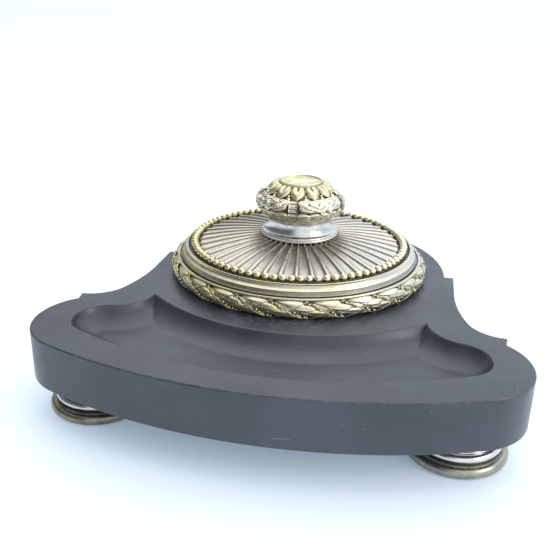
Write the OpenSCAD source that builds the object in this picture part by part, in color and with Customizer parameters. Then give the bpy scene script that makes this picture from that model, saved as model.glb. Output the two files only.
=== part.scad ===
// Desk inkwell. A black stone slab on three turned feet carries a hollowed pen
// tray in front and a round brass well mount behind it. A fluted, beaded lid with
// a leafy knob hinges at the back of the mount over a glass ink pot.
// Frame: +Z up, z = 0 under the feet, x = 0 on the plane of symmetry, -Y in front.

/* [Slab] */
// Thickness of the stone slab
slab_t = 21.2; // [18:0.1:26]
// Height of the feet below the slab
foot_h = 17; // [15:0.5:22]
// Radius of the long front edge
front_r = 220; // [212:1:240]
// Distance from the well axis forward to the front edge
front_reach = 120; // [119:0.5:122]
// Distance from the well axis back to the back edge
back_reach = 72; // [71:0.5:76]
// Half distance between the centres of the two front lobes
lobe_x = 74; // [72:0.5:76]
// Distance from the well axis forward to the lobe centres
lobe_back = 80; // [79:0.5:81]
// Half width of the waist beside the well
waist_x = 71.5; // [70:0.5:73]
// Radius of the round back lobe
back_r = 67.2; // [66:0.2:69]
// Radius of the tight part of the side cove
cove_r = 16; // [14:0.5:17]

/* [Pen tray] */
// Depth of the pen tray
tray_depth = 7.4; // [5:0.1:9]
// Radius of the hollow curve where the tray wall meets the floor
tray_cove_r = 12; // [11:0.5:13]
// Radius of the tray's edge on the well side
tray_back_r = 85.7; // [84:0.5:88]
// Distance of that edge's centre behind the well axis
tray_back_y = 12.9; // [12:0.1:14]
// Distance from the well axis forward to the tray's front edge
tray_reach = 107.4; // [106:0.2:109]
// Radius of the two rounded shoulders that leave the cusps
shoulder_r = 17.6; // [16:0.2:18]

/* [Feet] */
// Radius of the rounded base of each foot
foot_r = 20.6; // [18:0.2:22]
// Distance from the well axis back to the third foot
back_foot_y = 46; // [44:0.5:48]

/* [Well mount] */
// How far the mount and its lid stand to the left of the slab's middle
mount_shift = 3.5; // [0:0.5:4]
// Inner radius of the fixed mount ring
mount_in_r = 45; // [44:0.5:46]
// Radius of the thin lip that frames the lid
lip_r = 58.6; // [58:0.1:59]
// Height of the mount ring above the slab
mount_h = 8.8; // [8.4:0.1:9.2]
// Outer radius of the laurel band
garland_r = 61.7; // [61.2:0.1:62]
// Number of leaf pairs round the laurel band
garland_n = 24; // [20:1:28]

/* [Ink pot] */
// Outer radius of the glass pot
pot_r = 31.4; // [28:0.2:32]
// Wall thickness of the glass pot
pot_wall = 3; // [2:0.1:4]
// Height of the glass pot
pot_h = 21.4; // [18:0.2:22]

/* [Lid] */
// Outer radius of the lid
lid_r = 56.6; // [56.2:0.1:56.8]
// Radius of the circle on which the beads sit
bead_ring_r = 50.35; // [50.2:0.05:50.5]
// Radius of one bead
bead_r = 1.8; // [1.5:0.05:1.85]
// Number of beads
bead_n = 84; // [72:2:86]
// Number of flutes on the lid
flute_n = 42; // [32:2:46]

/* [Knob] */
// Radius of the turned collar's foot
collar_r = 18.4; // [17.6:0.1:18.8]
// Height of the turned collar
collar_h = 10.9; // [10:0.1:11.5]
// Largest radius of the leaf wreath
wreath_r = 21; // [20:0.1:21.5]
// Radius of the cap's leaf tips
cap_r = 16.4; // [16:0.1:17]
// Radius of the star disc on top
star_disc_r = 10; // [9.4:0.1:10.2]
// Number of water leaves on the knob's cap
cap_leaf_n = 12; // [10:1:14]
// Number of leaves in the wreath
wreath_leaf_n = 20; // [16:1:24]

/* [Hinge] */
// Distance from the well axis back to the hinge axis
hinge_y = 64.5; // [64.3:0.1:65]
// Radius of the hinge pin
pin_r = 1.2; // [1:0.05:1.3]
// Radius of the hinge knuckles
knuckle_r = 2.6; // [2.4:0.1:2.7]
// Running clearance round the pin, on the radius
pin_clear = 0.05; // [0.02:0.01:0.1]

/* [Hidden] */
$fn = 96;
eps = 0.01;
cut = 1;                       // how far a cutter runs past a face

// The slab's middle lies on y = 0, so the well axis stands behind it.
well_y = (front_reach - back_reach) / 2;
slab_top = foot_h + slab_t;

// Front edge and lobes: each lobe circle touches the front arc from inside.
front_cy = front_r - front_reach;
lobe_c = [lobe_x, -lobe_back];
lobe_r = front_r - norm([lobe_x, front_cy + lobe_back]);
notch_deg = 49.3;              // where the lobe ends and the notch starts
notch_step = [0.9, 5.6];
notch_out = lobe_c + lobe_r * [cos(notch_deg), sin(notch_deg)] + notch_step;

// Side cove: a tight arc from the notch, then a wide arc into the waist.
waist_y = -16;
step_y = back_reach - back_r;  // centre of the back lobe and its step
cove_c = [notch_out[0], notch_out[1] + cove_r];
cove_a = notch_out[0] - waist_x;
cove_b = waist_y - cove_c[1];
wide_r = (cove_a * cove_a + cove_b * cove_b - cove_r * cove_r) / (2 * (cove_a - cove_r));
wide_c = [waist_x + wide_r, waist_y];

// Tray: a dish whose front arc, end lobes and shoulders touch each other.
shoulder_c = [77.2, -47];
tray_lobe_c = [71.4, -77];
tray_lobe_r = norm(shoulder_c - tray_lobe_c) - shoulder_r;
tray_in = tray_reach - tray_lobe_r;
tray_front_cy = (tray_lobe_c * tray_lobe_c - tray_in * tray_in)
    / (2 * (tray_in + tray_lobe_c[1]));
tray_front_r = tray_front_cy + tray_reach;
tray_wall_w = sqrt(2 * tray_cove_r * tray_depth - tray_depth * tray_depth);

// Feet
foot_at = [[-lobe_x, -lobe_back], [lobe_x, -lobe_back], [0, back_foot_y]];
foot_roll_r = 3;
insert_r = 4;
insert_h = 9;
screw_r = 2;
screw_head_r = 4;
foot_bore_r = 2.2;
foot_hollow_r = 8;
foot_hollow_h = 7;

// Well mount
stud_at_r = 50;
stud_at_deg = [30, 150, 270];
stud_r = 1.9;
stud_hole_r = 2.2;
nut_r = 4;
nut_h = 3;
washer_r = 5.4;
washer_t = 0.8;
nut_well_r = 6.4;
nut_well_h = 5;
seat_z = slab_top + mount_h - 0.8;
lip_z = slab_top + mount_h;
lip_w = 1.4;
mount_wall_r = 56;
garland_h = 7.2;

// Ink pot
pot_bore_r = 33;
pot_floor = 3;                 // stone left under the pot
pad_t = 1.5;
pot_z = foot_h + pot_floor + pad_t;
pot_base_t = 3.5;
pot_collar_t = 2;

// Lid
lid_gap = 0.3;                 // air between the lid and its seat
lid_z = seat_z + lid_gap;
rim_in_r = 47;
rim_top_z = slab_top + 13.5;
bead_seat_z = rim_top_z - 1;
plate_r = 48.3;
plate_t = 2.1;
plate_edge_z = rim_top_z + 0.7;
plate_top_z = slab_top + 18.4;
collar_z = plate_top_z;
wreath_z = collar_z + collar_h;
wreath_h = 8.6;
cap_z = wreath_z + wreath_h;
cap_h = 5.3;
star_z = cap_z + cap_h - 0.8;
star_t = 1.4;
knob_stud_r = 2;
knob_hole_r = 2.2;

// Hinge
hinge_z = slab_top + 9.8;
leaf_hw = 4.5;
leaf_side_gap = 0.3;
post_w = 8;
plate_hw = leaf_hw + leaf_side_gap + post_w;
hinge_plate_t = 2;
hinge_front_y = 62.6;
hinge_back_y = 70.2;
post_back_y = 66.4;
leaf_z0 = lip_z + 0.4;
leaf_t = 2.5;
leaf_in_y = 50;
hinge_screw_x = 8.8;
hinge_screw_y = 68.1;
small_screw_r = 1;
hinge_insert_r = 2;
hinge_screw_len = 6;
leaf_screw_r = 0.8;
leaf_screw_x = 2.6;
leaf_screw_y = 54.6;

// ---------------------------------------------------------------- helpers

// Slab, tray and feet are drawn about the slab's own middle line.
module on_slab() {
    translate([0, well_y, 0]) children();
}

// The mount, the pot, the hinge and the lid are drawn about the well axis.
module at_well() {
    translate([-mount_shift, well_y, 0]) children();
}

// Places a child at each of a list of plan points.
module at_points(points) {
    for (p = points) translate([p[0], p[1], 0]) children();
}

// Draws a child on both sides of the plane of symmetry.
module both_sides() {
    children();
    mirror([1, 0, 0]) children();
}

function polar(r, deg) = [r * cos(deg), r * sin(deg)];

stud_points = [for (a = stud_at_deg) polar(stud_at_r, a)];
hinge_screw_points = [[-hinge_screw_x, hinge_screw_y], [hinge_screw_x, hinge_screw_y]];
leaf_screw_points = [[-leaf_screw_x, leaf_screw_y], [leaf_screw_x, leaf_screw_y]];

// A ring with a rectangular section.
module flat_ring(r_in, r_out, h) {
    difference() {
        cylinder(r = r_out, h = h);
        translate([0, 0, -cut]) cylinder(r = r_in, h = h + 2 * cut);
    }
}

// ------------------------------------------------------------------- slab

// Points along an arc, both ends included.
function arc(c, r, a0, a1, n) = [for (i = [0 : n]) c + polar(r, a0 + (a1 - a0) * i / n)];
function heading(from, to) = atan2(to[1] - from[1], to[0] - from[0]);

// Where two circles cross, on the side that lies clockwise of c1 towards c2.
function crossing(c1, r1, c2, r2) =
    let (d = norm(c2 - c1), u = (c2 - c1) / d)
    let (a = (r1 * r1 - r2 * r2 + d * d) / (2 * d), h = sqrt(r1 * r1 - a * a))
    c1 + a * u + h * [u[1], -u[0]];

// Closes a right-hand half outline with its mirror image.
function mirrored(half) =
    concat(half, [for (i = [len(half) - 1 : -1 : 0]) if (half[i][0] > eps) [-half[i][0], half[i][1]]]);

module slab_outline() {
    front_c = [0, front_cy];
    back_c = [0, step_y];
    touch = heading(front_c, lobe_c);
    bend = heading(wide_c, cove_c);
    polygon(mirrored(concat(
        arc(front_c, front_r, -90, touch, 24),
        arc(lobe_c, lobe_r, touch + 5, notch_deg, 24),
        arc(cove_c, cove_r, -90, bend, 12),
        arc(wide_c, wide_r, bend - 3, -180, 8),
        [[waist_x, step_y]],
        arc(back_c, back_r, 0, 90, 30)
    )));
}

// The tray's right half at a given inset: front arc, end lobe and shoulder, which
// touch each other, then the well-side arc, which crosses the shoulder at a cusp.
function tray_half(inset) =
    let (front_c = [0, tray_front_cy], back_c = [0, tray_back_y])
    let (touch = heading(front_c, tray_lobe_c), bend = heading(shoulder_c, tray_lobe_c))
    let (cusp = crossing(back_c, tray_back_r + inset, shoulder_c, shoulder_r + inset))
    concat(
        arc(front_c, tray_front_r - inset, -90, touch, 20),
        arc(tray_lobe_c, tray_lobe_r - inset, touch + 9, bend + 180, 16),
        arc(shoulder_c, shoulder_r + inset, bend - 9, heading(shoulder_c, cusp), 8),
        arc(back_c, tray_back_r + inset, heading(back_c, cusp) - 2, -90, 14)
    );

// How far the wall has moved in at a given depth, along its hollow curve.
function tray_inset(depth) =
    tray_wall_w - sqrt(pow(tray_cove_r, 2) - pow(tray_cove_r - tray_depth + depth, 2));

module tray() {
    steps = 9;
    depths = concat([-cut], [for (i = [0 : steps]) tray_depth * sin(90 * i / steps)]);
    rings = [for (d = depths) [for (p = mirrored(tray_half(tray_inset(max(d, 0))))) [p[0], p[1], -d]]];
    n = len(rings[0]);
    last = len(rings) - 1;
    walls = [
        for (k = [0 : last - 1], i = [0 : n - 1])
            let (j = (i + 1) % n)
            [k * n + i, k * n + j, (k + 1) * n + j, (k + 1) * n + i]
    ];
    top = [for (i = [n - 1 : -1 : 0]) i];
    bottom = [for (i = [0 : n - 1]) last * n + i];
    polyhedron(points = [for (ring = rings, p = ring) p], faces = concat([top], walls, [bottom]));
}

module base_slab() {
    color("#2b2e35") difference() {
        on_slab() difference() {
            translate([0, 0, foot_h]) linear_extrude(slab_t) slab_outline();
            translate([0, 0, slab_top]) tray();
            at_points(foot_at) translate([0, 0, foot_h - cut]) {
                cylinder(r = insert_r, h = insert_h + cut);
            }
        }
        at_well() {
            translate([0, 0, foot_h + pot_floor]) cylinder(r = pot_bore_r, h = slab_t);
            at_points(stud_points) {
                translate([0, 0, foot_h - cut]) cylinder(r = nut_well_r, h = nut_well_h + cut);
                translate([0, 0, foot_h]) cylinder(r = stud_hole_r, h = slab_t + cut);
            }
            at_points(hinge_screw_points) translate([0, 0, slab_top - insert_h]) {
                cylinder(r = hinge_insert_r, h = insert_h + cut);
            }
        }
    }
}

// ------------------------------------------------------------------- feet

// A turned foot: rolled base, thin bead and a hollow neck up to the slab.
module foot() {
    neck_z = 9.6;
    neck_r = 14.6;
    bead = 1.3;
    difference() {
        rotate_extrude() difference() {
            union() {
                translate([foot_r - foot_roll_r, foot_roll_r]) circle(r = foot_roll_r, $fn = 48);
                square([foot_r - foot_roll_r, 2 * foot_roll_r]);
                square([foot_r - foot_roll_r - 0.4, 2 * foot_roll_r + bead]);
                translate([neck_r + 0.9, neck_z - bead]) circle(r = bead, $fn = 32);
                square([neck_r + 0.9, neck_z]);
                square([neck_r, foot_h]);
            }
            translate([neck_r + 0.6, foot_h - 1.4]) circle(r = foot_h - 1.4 - neck_z, $fn = 64);
            translate([-cut, -cut]) square([foot_hollow_r + cut, foot_hollow_h + cut]);
        }
        cylinder(r = foot_bore_r, h = foot_h + cut);
    }
}

module placed_foot(i) {
    color("#8d8a6a") on_slab() at_points([foot_at[i]]) foot();
}
module foot_left() placed_foot(0);
module foot_right() placed_foot(1);
module foot_back() placed_foot(2);

// Pan-headed screws up through the feet.
module foot_screws() {
    color("#777766") on_slab() at_points(foot_at) difference() {
        union() {
            translate([0, 0, foot_hollow_h - 2.4]) cylinder(r = screw_head_r, h = 2.4);
            translate([0, 0, foot_hollow_h - eps]) cylinder(r = screw_r, h = foot_h - foot_hollow_h + 7);
        }
        translate([-screw_head_r, -0.5, foot_hollow_h - 3.4]) cube([2 * screw_head_r, 1, 2]);
    }
}

// Threaded brass plugs set into the stone.
module foot_inserts() {
    color("#b09b52") on_slab() at_points(foot_at) difference() {
        translate([0, 0, foot_h]) cylinder(r = insert_r, h = insert_h);
        translate([0, 0, foot_h - cut]) cylinder(r = screw_r, h = insert_h - cut);
    }
}

// ------------------------------------------------------------- well mount

module mount_ring() {
    color("#a3955c") at_well() difference() {
        translate([0, 0, slab_top]) rotate_extrude($fn = 180) {
            translate([mount_in_r, 0]) square([mount_wall_r - mount_in_r, seat_z - slab_top]);
            translate([mount_wall_r - eps, garland_h]) {
                square([lip_r - mount_wall_r, seat_z - slab_top - garland_h]);
            }
            translate([lip_r - lip_w, garland_h]) square([lip_w, mount_h - garland_h]);
        }
        at_points(stud_points) translate([0, 0, slab_top - cut]) cylinder(r = stud_r, h = 5 + cut);
    }
}

// Laurel band: a half-round moulding with a notch between each pair of leaves.
module garland_band() {
    roll = garland_r - mount_wall_r;
    color("#a89a5a") at_well() translate([0, 0, slab_top]) difference() {
        rotate_extrude($fn = 180) intersection() {
            translate([mount_wall_r, garland_h / 2 - 0.4]) circle(r = roll, $fn = 64);
            translate([mount_wall_r, 0]) square([roll + cut, garland_h]);
        }
        for (i = [0 : garland_n - 1]) {
            rotate([0, 0, (i + 0.5) * 360 / garland_n]) {
                translate([garland_r + 1.1, 0, -cut]) cylinder(r = 1.6, h = garland_h + 2 * cut, $fn = 32);
            }
        }
    }
}

module ring_studs() {
    color("#777766") at_well() at_points(stud_points) {
        translate([0, 0, foot_h + 0.6]) cylinder(r = stud_r, h = slab_t + 4);
    }
}

module ring_washers() {
    color("#999988") at_well() at_points(stud_points) {
        translate([0, 0, foot_h + nut_well_h - washer_t]) flat_ring(stud_hole_r, washer_r, washer_t);
    }
}

module ring_nuts() {
    color("#777766") at_well() at_points(stud_points) difference() {
        translate([0, 0, foot_h + nut_well_h - washer_t - nut_h]) cylinder(r = nut_r, h = nut_h, $fn = 6);
        translate([0, 0, foot_h]) cylinder(r = stud_r, h = slab_t);
    }
}

// ---------------------------------------------------------------- ink pot

module pot_pad() {
    color("#9a6f45") at_well() {
        translate([0, 0, foot_h + pot_floor]) cylinder(r = pot_bore_r - 1, h = pad_t);
    }
}

// Glass pot: thick base, plain wall and a slightly thicker drip edge.
module ink_pot() {
    color("#cfe0e4") at_well() translate([0, 0, pot_z]) difference() {
        union() {
            cylinder(r = pot_r, h = pot_h);
            translate([0, 0, pot_h - 1.8]) rotate_extrude($fn = 128) {
                translate([pot_r - 1, 0]) circle(r = 1.8, $fn = 48);
            }
        }
        translate([0, 0, pot_base_t]) cylinder(r = pot_r - pot_wall, h = pot_h);
        translate([0, 0, pot_h - eps]) cylinder(r = pot_r + 3, h = 3);
    }
}

// Flat brass ring that centres the pot and covers the gap round it.
module pot_collar() {
    color("#a3955c") at_well() translate([0, 0, slab_top]) {
        flat_ring(pot_r + 0.3, mount_in_r - 0.2, pot_collar_t - 0.4);
        flat_ring(mount_in_r - 3, mount_in_r - 0.2, pot_collar_t);
    }
}

// ------------------------------------------------------------------ hinge

module knuckle(x0, x1) {
    translate([x0, hinge_y, hinge_z]) rotate([0, 90, 0]) cylinder(r = knuckle_r, h = x1 - x0);
}

// Base plate on the slab with two posts and their knuckles.
module hinge_plate() {
    post_x = leaf_hw + leaf_side_gap;
    color("#9c8f58") at_well() difference() {
        union() {
            translate([-plate_hw, hinge_front_y, slab_top]) {
                cube([2 * plate_hw, hinge_back_y - hinge_front_y, hinge_plate_t]);
            }
            both_sides() {
                translate([post_x, hinge_front_y, slab_top]) {
                    cube([post_w, post_back_y - hinge_front_y, hinge_z - slab_top]);
                }
                knuckle(post_x, post_x + post_w);
            }
        }
        translate([-plate_hw - cut, hinge_y, hinge_z]) rotate([0, 90, 0]) {
            cylinder(r = pin_r, h = 2 * (plate_hw + cut));
        }
        at_points(hinge_screw_points) {
            translate([0, 0, slab_top - cut]) cylinder(r = small_screw_r, h = hinge_plate_t + 2 * cut);
        }
    }
}

module hinge_pin() {
    pin_over = 0.6;
    color("#8a8468") at_well() {
        translate([-plate_hw - pin_over, hinge_y, hinge_z]) rotate([0, 90, 0]) {
            cylinder(r = pin_r, h = 2 * (plate_hw + pin_over));
        }
    }
}

module hinge_screws() {
    color("#777766") at_well() at_points(hinge_screw_points) difference() {
        union() {
            translate([0, 0, slab_top + hinge_plate_t]) cylinder(r = 1.7, h = 1.1);
            translate([0, 0, slab_top - hinge_screw_len]) {
                cylinder(r = small_screw_r, h = hinge_screw_len + hinge_plate_t + eps);
            }
        }
        translate([-2, -0.2, slab_top + hinge_plate_t + 0.6]) cube([4, 0.4, 1]);
    }
}

module hinge_inserts() {
    color("#b09b52") at_well() at_points(hinge_screw_points) difference() {
        translate([0, 0, slab_top - insert_h]) cylinder(r = hinge_insert_r, h = insert_h);
        translate([0, 0, slab_top - hinge_screw_len]) cylinder(r = small_screw_r, h = insert_h);
    }
}

// Tongue let into the lid rim, with the middle knuckle on its end.
module leaf_tongue() {
    translate([-leaf_hw, leaf_in_y, leaf_z0]) cube([2 * leaf_hw, hinge_y - leaf_in_y, leaf_t]);
}

module hinge_leaf() {
    color("#9c8f58") at_well() difference() {
        union() {
            leaf_tongue();
            knuckle(-leaf_hw, leaf_hw);
        }
        translate([-leaf_hw - cut, hinge_y, hinge_z]) rotate([0, 90, 0]) {
            cylinder(r = pin_r + pin_clear, h = 2 * (leaf_hw + cut));
        }
        at_points(leaf_screw_points) {
            translate([0, 0, leaf_z0 - cut]) cylinder(r = leaf_screw_r, h = leaf_t - 0.5 + cut);
        }
    }
}

module leaf_screws() {
    color("#777766") at_well() at_points(leaf_screw_points) {
        translate([0, 0, lid_z]) cylinder(r = leaf_screw_r, h = leaf_z0 - lid_z + leaf_t - 0.6);
    }
}

// -------------------------------------------------------------------- lid

// Moulded rim: a thin square edge, a groove, a cove and a flat top edge.
module lid_rim() {
    cove = 2.1;
    edge_h = 1;
    top_r = 53.9;
    bead_out_r = 52.3;
    color("#a59a63") at_well() difference() {
        rotate_extrude($fn = 180) difference() {
            union() {
                translate([rim_in_r, lid_z]) square([lid_r - rim_in_r, edge_h]);
                translate([rim_in_r, lid_z]) square([lid_r - 0.9 - rim_in_r, edge_h + 0.9]);
                translate([rim_in_r, lid_z]) square([top_r + 1.3 - rim_in_r, rim_top_z - 0.5 - lid_z]);
                translate([rim_in_r, lid_z]) square([top_r - rim_in_r, rim_top_z - lid_z]);
            }
            translate([top_r + 1.6, rim_top_z - 0.5 - 0.9]) circle(r = cove - 0.9, $fn = 48);
            translate([rim_in_r - cut, bead_seat_z]) square([bead_out_r - rim_in_r + cut, 3]);
            translate([rim_in_r - cut, plate_edge_z - plate_t]) square([plate_r - rim_in_r + cut, 3]);
        }
        leaf_tongue();
        at_points(leaf_screw_points) {
            translate([0, 0, lid_z - cut]) cylinder(r = leaf_screw_r, h = leaf_z0 - lid_z + 2 * cut);
        }
    }
}

// A channel that widens from the collar out to the bead ring.
module flute() {
    r0 = collar_r + 1.2;
    r1 = plate_r + 1;
    small = 2.1;
    large = 6;
    z0 = plate_top_z + small - 0.8;
    z1 = plate_edge_z + large - 1;
    tilt = atan2(z0 - z1, r1 - r0);
    translate([r0, 0, z0]) rotate([0, 90 + tilt, 0]) {
        cylinder(r1 = small, r2 = large, h = norm([r1 - r0, z1 - z0]), $fn = 48);
    }
}

module lid_plate() {
    flat_r = collar_r - 0.8;
    color("#b3a76d") at_well() difference() {
        rotate_extrude($fn = 180) polygon([
            [knob_hole_r, plate_top_z - plate_t], [flat_r, plate_top_z - plate_t],
            [plate_r - 2, plate_edge_z - plate_t], [plate_r, plate_edge_z - plate_t],
            [plate_r, plate_edge_z], [flat_r, plate_top_z], [knob_hole_r, plate_top_z]
        ]);
        for (i = [0 : flute_n - 1]) rotate([0, 0, i * 360 / flute_n]) flute();
    }
}

// Pearl moulding: a thin wire ring with round beads on it.
module bead_ring() {
    color("#c3b779") at_well() {
        translate([0, 0, bead_seat_z]) flat_ring(bead_ring_r - 1.4, bead_ring_r + 1.4, 0.6);
        for (i = [0 : bead_n - 1]) {
            rotate([0, 0, (i + 0.5) * 360 / bead_n]) translate([bead_ring_r, 0, 0]) intersection() {
                translate([0, 0, bead_seat_z + bead_r]) sphere(r = bead_r, $fn = 32);
                translate([-2, -2, bead_seat_z + 0.5]) cube(4);
            }
        }
    }
}

// ------------------------------------------------------------------- knob

// Polished neck: a plain band at the foot, then a bell that narrows upwards.
module knob_collar() {
    band = 2;
    neck = 15;
    flare = collar_r - neck;
    top_h = 3.6;
    color("#a9a79c") at_well() translate([0, 0, collar_z]) difference() {
        rotate_extrude() {
            translate([knob_hole_r, 0]) square([collar_r - knob_hole_r, band]);
            translate([knob_hole_r, 0]) square([neck - knob_hole_r, collar_h]);
            difference() {
                translate([neck - eps, band - eps]) square([flare, collar_h - band - top_h]);
                translate([neck + 6.2, band + 5.6]) circle(r = 6.2, $fn = 128);
            }
        }
        translate([0, 0, -cut]) cylinder(r = knob_hole_r, h = 1.5 * cut);
    }
}

// Wreath: a half-round band notched between its leaves, tied on four sides.
module knob_wreath() {
    roll = 4.1;
    mid = wreath_r - roll;
    tie = [4.6, 2.4, wreath_h - 1];
    color("#8f8a74") at_well() translate([0, 0, wreath_z]) difference() {
        union() {
            rotate_extrude() {
                translate([knob_hole_r, 0]) square([mid - knob_hole_r, wreath_h]);
                intersection() {
                    translate([mid - eps, wreath_h / 2]) circle(r = roll, $fn = 64);
                    translate([mid - eps, 0]) square([roll + cut, wreath_h]);
                }
            }
            for (a = [0 : 90 : 270]) rotate([0, 0, a]) {
                translate([-tie[0] / 2, wreath_r - 0.2 - tie[1], 0.5]) cube(tie);
            }
        }
        for (i = [0 : wreath_leaf_n - 1]) rotate([0, 0, (i + 0.5) * 360 / wreath_leaf_n]) {
            translate([wreath_r + 1, 0, -cut]) cylinder(r = 1.5, h = wreath_h + 2 * cut, $fn = 24);
        }
    }
}

// Cap of water leaves: a low dome grooved between the leaves.
module knob_leaf_cap() {
    dome = 12;
    color("#a8a074") at_well() translate([0, 0, cap_z]) difference() {
        rotate_extrude() intersection() {
            union() {
                translate([cap_r - dome, -5]) circle(r = dome, $fn = 96);
                square([cap_r - dome, cap_h + 1.6]);
            }
            translate([knob_hole_r, 0]) square([cap_r, cap_h]);
        }
        for (i = [0 : cap_leaf_n - 1]) rotate([0, 0, i * 360 / cap_leaf_n]) {
            translate([star_disc_r + 1.2, 0, cap_h + 0.9]) rotate([0, 140, 0]) {
                cylinder(r1 = 0.5, r2 = 1.5, h = 10, $fn = 24);
            }
        }
        translate([0, 0, cap_h - 0.8]) cylinder(r = star_disc_r, h = 3);
    }
}

// Disc with a raised five-pointed star.
module star_disc() {
    points = [for (i = [0 : 9]) polar(i % 2 == 0 ? 7.6 : 3.2, 90 + 36 * i)];
    color("#e6dfa6") at_well() translate([0, 0, star_z]) {
        cylinder(r = star_disc_r, h = star_t);
        translate([0, 0, star_t - eps]) linear_extrude(0.5) polygon(points);
        translate([0, 0, star_t - eps]) flat_ring(star_disc_r - 1.2, star_disc_r, 0.5);
    }
}

module knob_stud() {
    color("#777766") at_well() translate([0, 0, plate_top_z - plate_t - 4.6]) {
        cylinder(r = knob_stud_r, h = star_z - plate_top_z + plate_t + 4.6);
    }
}

module knob_washer() {
    color("#999988") at_well() {
        translate([0, 0, plate_top_z - plate_t - 1]) flat_ring(knob_hole_r, 6, 1);
    }
}

module knob_nut() {
    color("#777766") at_well() translate([0, 0, plate_top_z - plate_t - 1 - nut_h]) difference() {
        cylinder(r = nut_r, h = nut_h, $fn = 6);
        translate([0, 0, -cut]) cylinder(r = knob_stud_r, h = nut_h + 2 * cut);
    }
}

base_slab();
foot_left();
foot_right();
foot_back();
foot_screws();
foot_inserts();
mount_ring();
garland_band();
ring_studs();
ring_washers();
ring_nuts();
pot_pad();
ink_pot();
pot_collar();
hinge_plate();
hinge_pin();
hinge_screws();
hinge_inserts();
hinge_leaf();
leaf_screws();
lid_rim();
lid_plate();
bead_ring();
knob_collar();
knob_wreath();
knob_leaf_cap();
star_disc();
knob_stud();
knob_washer();
knob_nut();
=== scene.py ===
"""Looks of the desk inkwell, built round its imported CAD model."""
import math
import random

import bmesh
import bpy
import numpy as np
from mathutils import Matrix, Vector
from mathutils.geometry import delaunay_2d_cdt


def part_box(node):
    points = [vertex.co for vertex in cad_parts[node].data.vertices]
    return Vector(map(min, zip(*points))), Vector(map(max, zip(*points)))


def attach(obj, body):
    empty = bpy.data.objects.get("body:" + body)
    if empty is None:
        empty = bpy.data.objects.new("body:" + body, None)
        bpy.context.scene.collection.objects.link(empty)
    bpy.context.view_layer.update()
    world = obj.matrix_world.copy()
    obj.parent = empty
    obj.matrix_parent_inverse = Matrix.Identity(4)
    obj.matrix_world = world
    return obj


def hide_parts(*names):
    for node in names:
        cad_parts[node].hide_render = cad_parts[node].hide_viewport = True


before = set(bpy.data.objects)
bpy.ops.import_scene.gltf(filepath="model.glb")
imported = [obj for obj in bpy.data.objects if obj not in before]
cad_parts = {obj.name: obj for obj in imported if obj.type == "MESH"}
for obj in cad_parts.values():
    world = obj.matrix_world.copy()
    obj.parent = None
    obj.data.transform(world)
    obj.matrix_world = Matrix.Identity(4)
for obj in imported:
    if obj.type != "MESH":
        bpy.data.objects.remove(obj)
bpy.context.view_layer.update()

MM = 0.001


def mm_box(node):
    """A CAD node's lowest and highest corners in millimetres."""
    low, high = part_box(node)
    return np.array(low) / MM, np.array(high) / MM


def levels(node):
    """The heights of a CAD node's underside and top in millimetres."""
    low, high = mm_box(node)
    return low[2], high[2]


def middle_of(node):
    """Where the middle of a CAD node stands in plan, in millimetres."""
    low, high = mm_box(node)
    return (low[:2] + high[:2]) / 2


# ------------------------------------------------------------ where things are
WELL = np.round(middle_of("mount_ring"), 2)
MIDDLE = np.array([0.0, WELL[1]])       # the slab's own plan is drawn from here
UNDER, TOP = levels("base_slab")
LIP_Z = levels("mount_ring")[1]
LID_Z, RIM_Z = levels("lid_rim")
PLATE_Z = levels("lid_plate")[1]
COLLAR_Z = levels("knob_collar")[0]
WREATH_Z = levels("knob_wreath")[0]
CAP_Z = levels("knob_leaf_cap")[0]
STAR_Z, STAR_TOP = levels("star_disc")
BEAD_SEAT_Z = RIM_Z - 1.0
PLATE_EDGE_Z = RIM_Z + 0.7
BORE_R = 2.2                            # the holes for every stud and screw

GARLAND_N = 24
BEAD_N = 84
FLUTE_N = 42
CAP_LEAF_N = 12


# ------------------------------------------------------------------ mesh tools
def polar(radius, degrees):
    """A plan vector of the given length and direction."""
    angle = math.radians(degrees)
    return np.array([radius * math.cos(angle), radius * math.sin(angle)])


def arc(centre, radius, start, stop, steps):
    """Points along an arc, both ends included."""
    centre = np.asarray(centre, float)
    return [centre + polar(radius, start + (stop - start) * i / steps) for i in range(steps + 1)]


def heading(origin, target):
    """The direction from one plan point to another, in degrees."""
    return math.degrees(math.atan2(target[1] - origin[1], target[0] - origin[0]))


def rounded(corners, steps=3):
    """A closed profile from (r, z) or (r, z, fillet) corners, with small curves at the filleted ones."""
    out = []
    count = len(corners)
    for i, corner in enumerate(corners):
        here = np.array(corner[:2], float)
        fillet = corner[2] if len(corner) > 2 else 0.0
        if fillet <= 0:
            out.append(here)
            continue
        before = np.array(corners[i - 1][:2], float) - here
        after = np.array(corners[(i + 1) % count][:2], float) - here
        reach = min(fillet, 0.48 * np.linalg.norm(before), 0.48 * np.linalg.norm(after))
        first = here + before / np.linalg.norm(before) * reach
        last = here + after / np.linalg.norm(after) * reach
        for k in range(steps + 1):
            t = k / steps
            out.append((1 - t) ** 2 * first + 2 * t * (1 - t) * here + t * t * last)
    return np.array(out)


def subdivided(profile, step):
    """The closed profile with no stretch longer than step."""
    out = []
    for here, after in zip(profile, np.roll(profile, -1, axis=0)):
        parts = max(1, int(math.ceil(np.linalg.norm(after - here) / step)))
        out.extend(here + (after - here) * k / parts for k in range(parts))
    return np.array(out)


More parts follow.
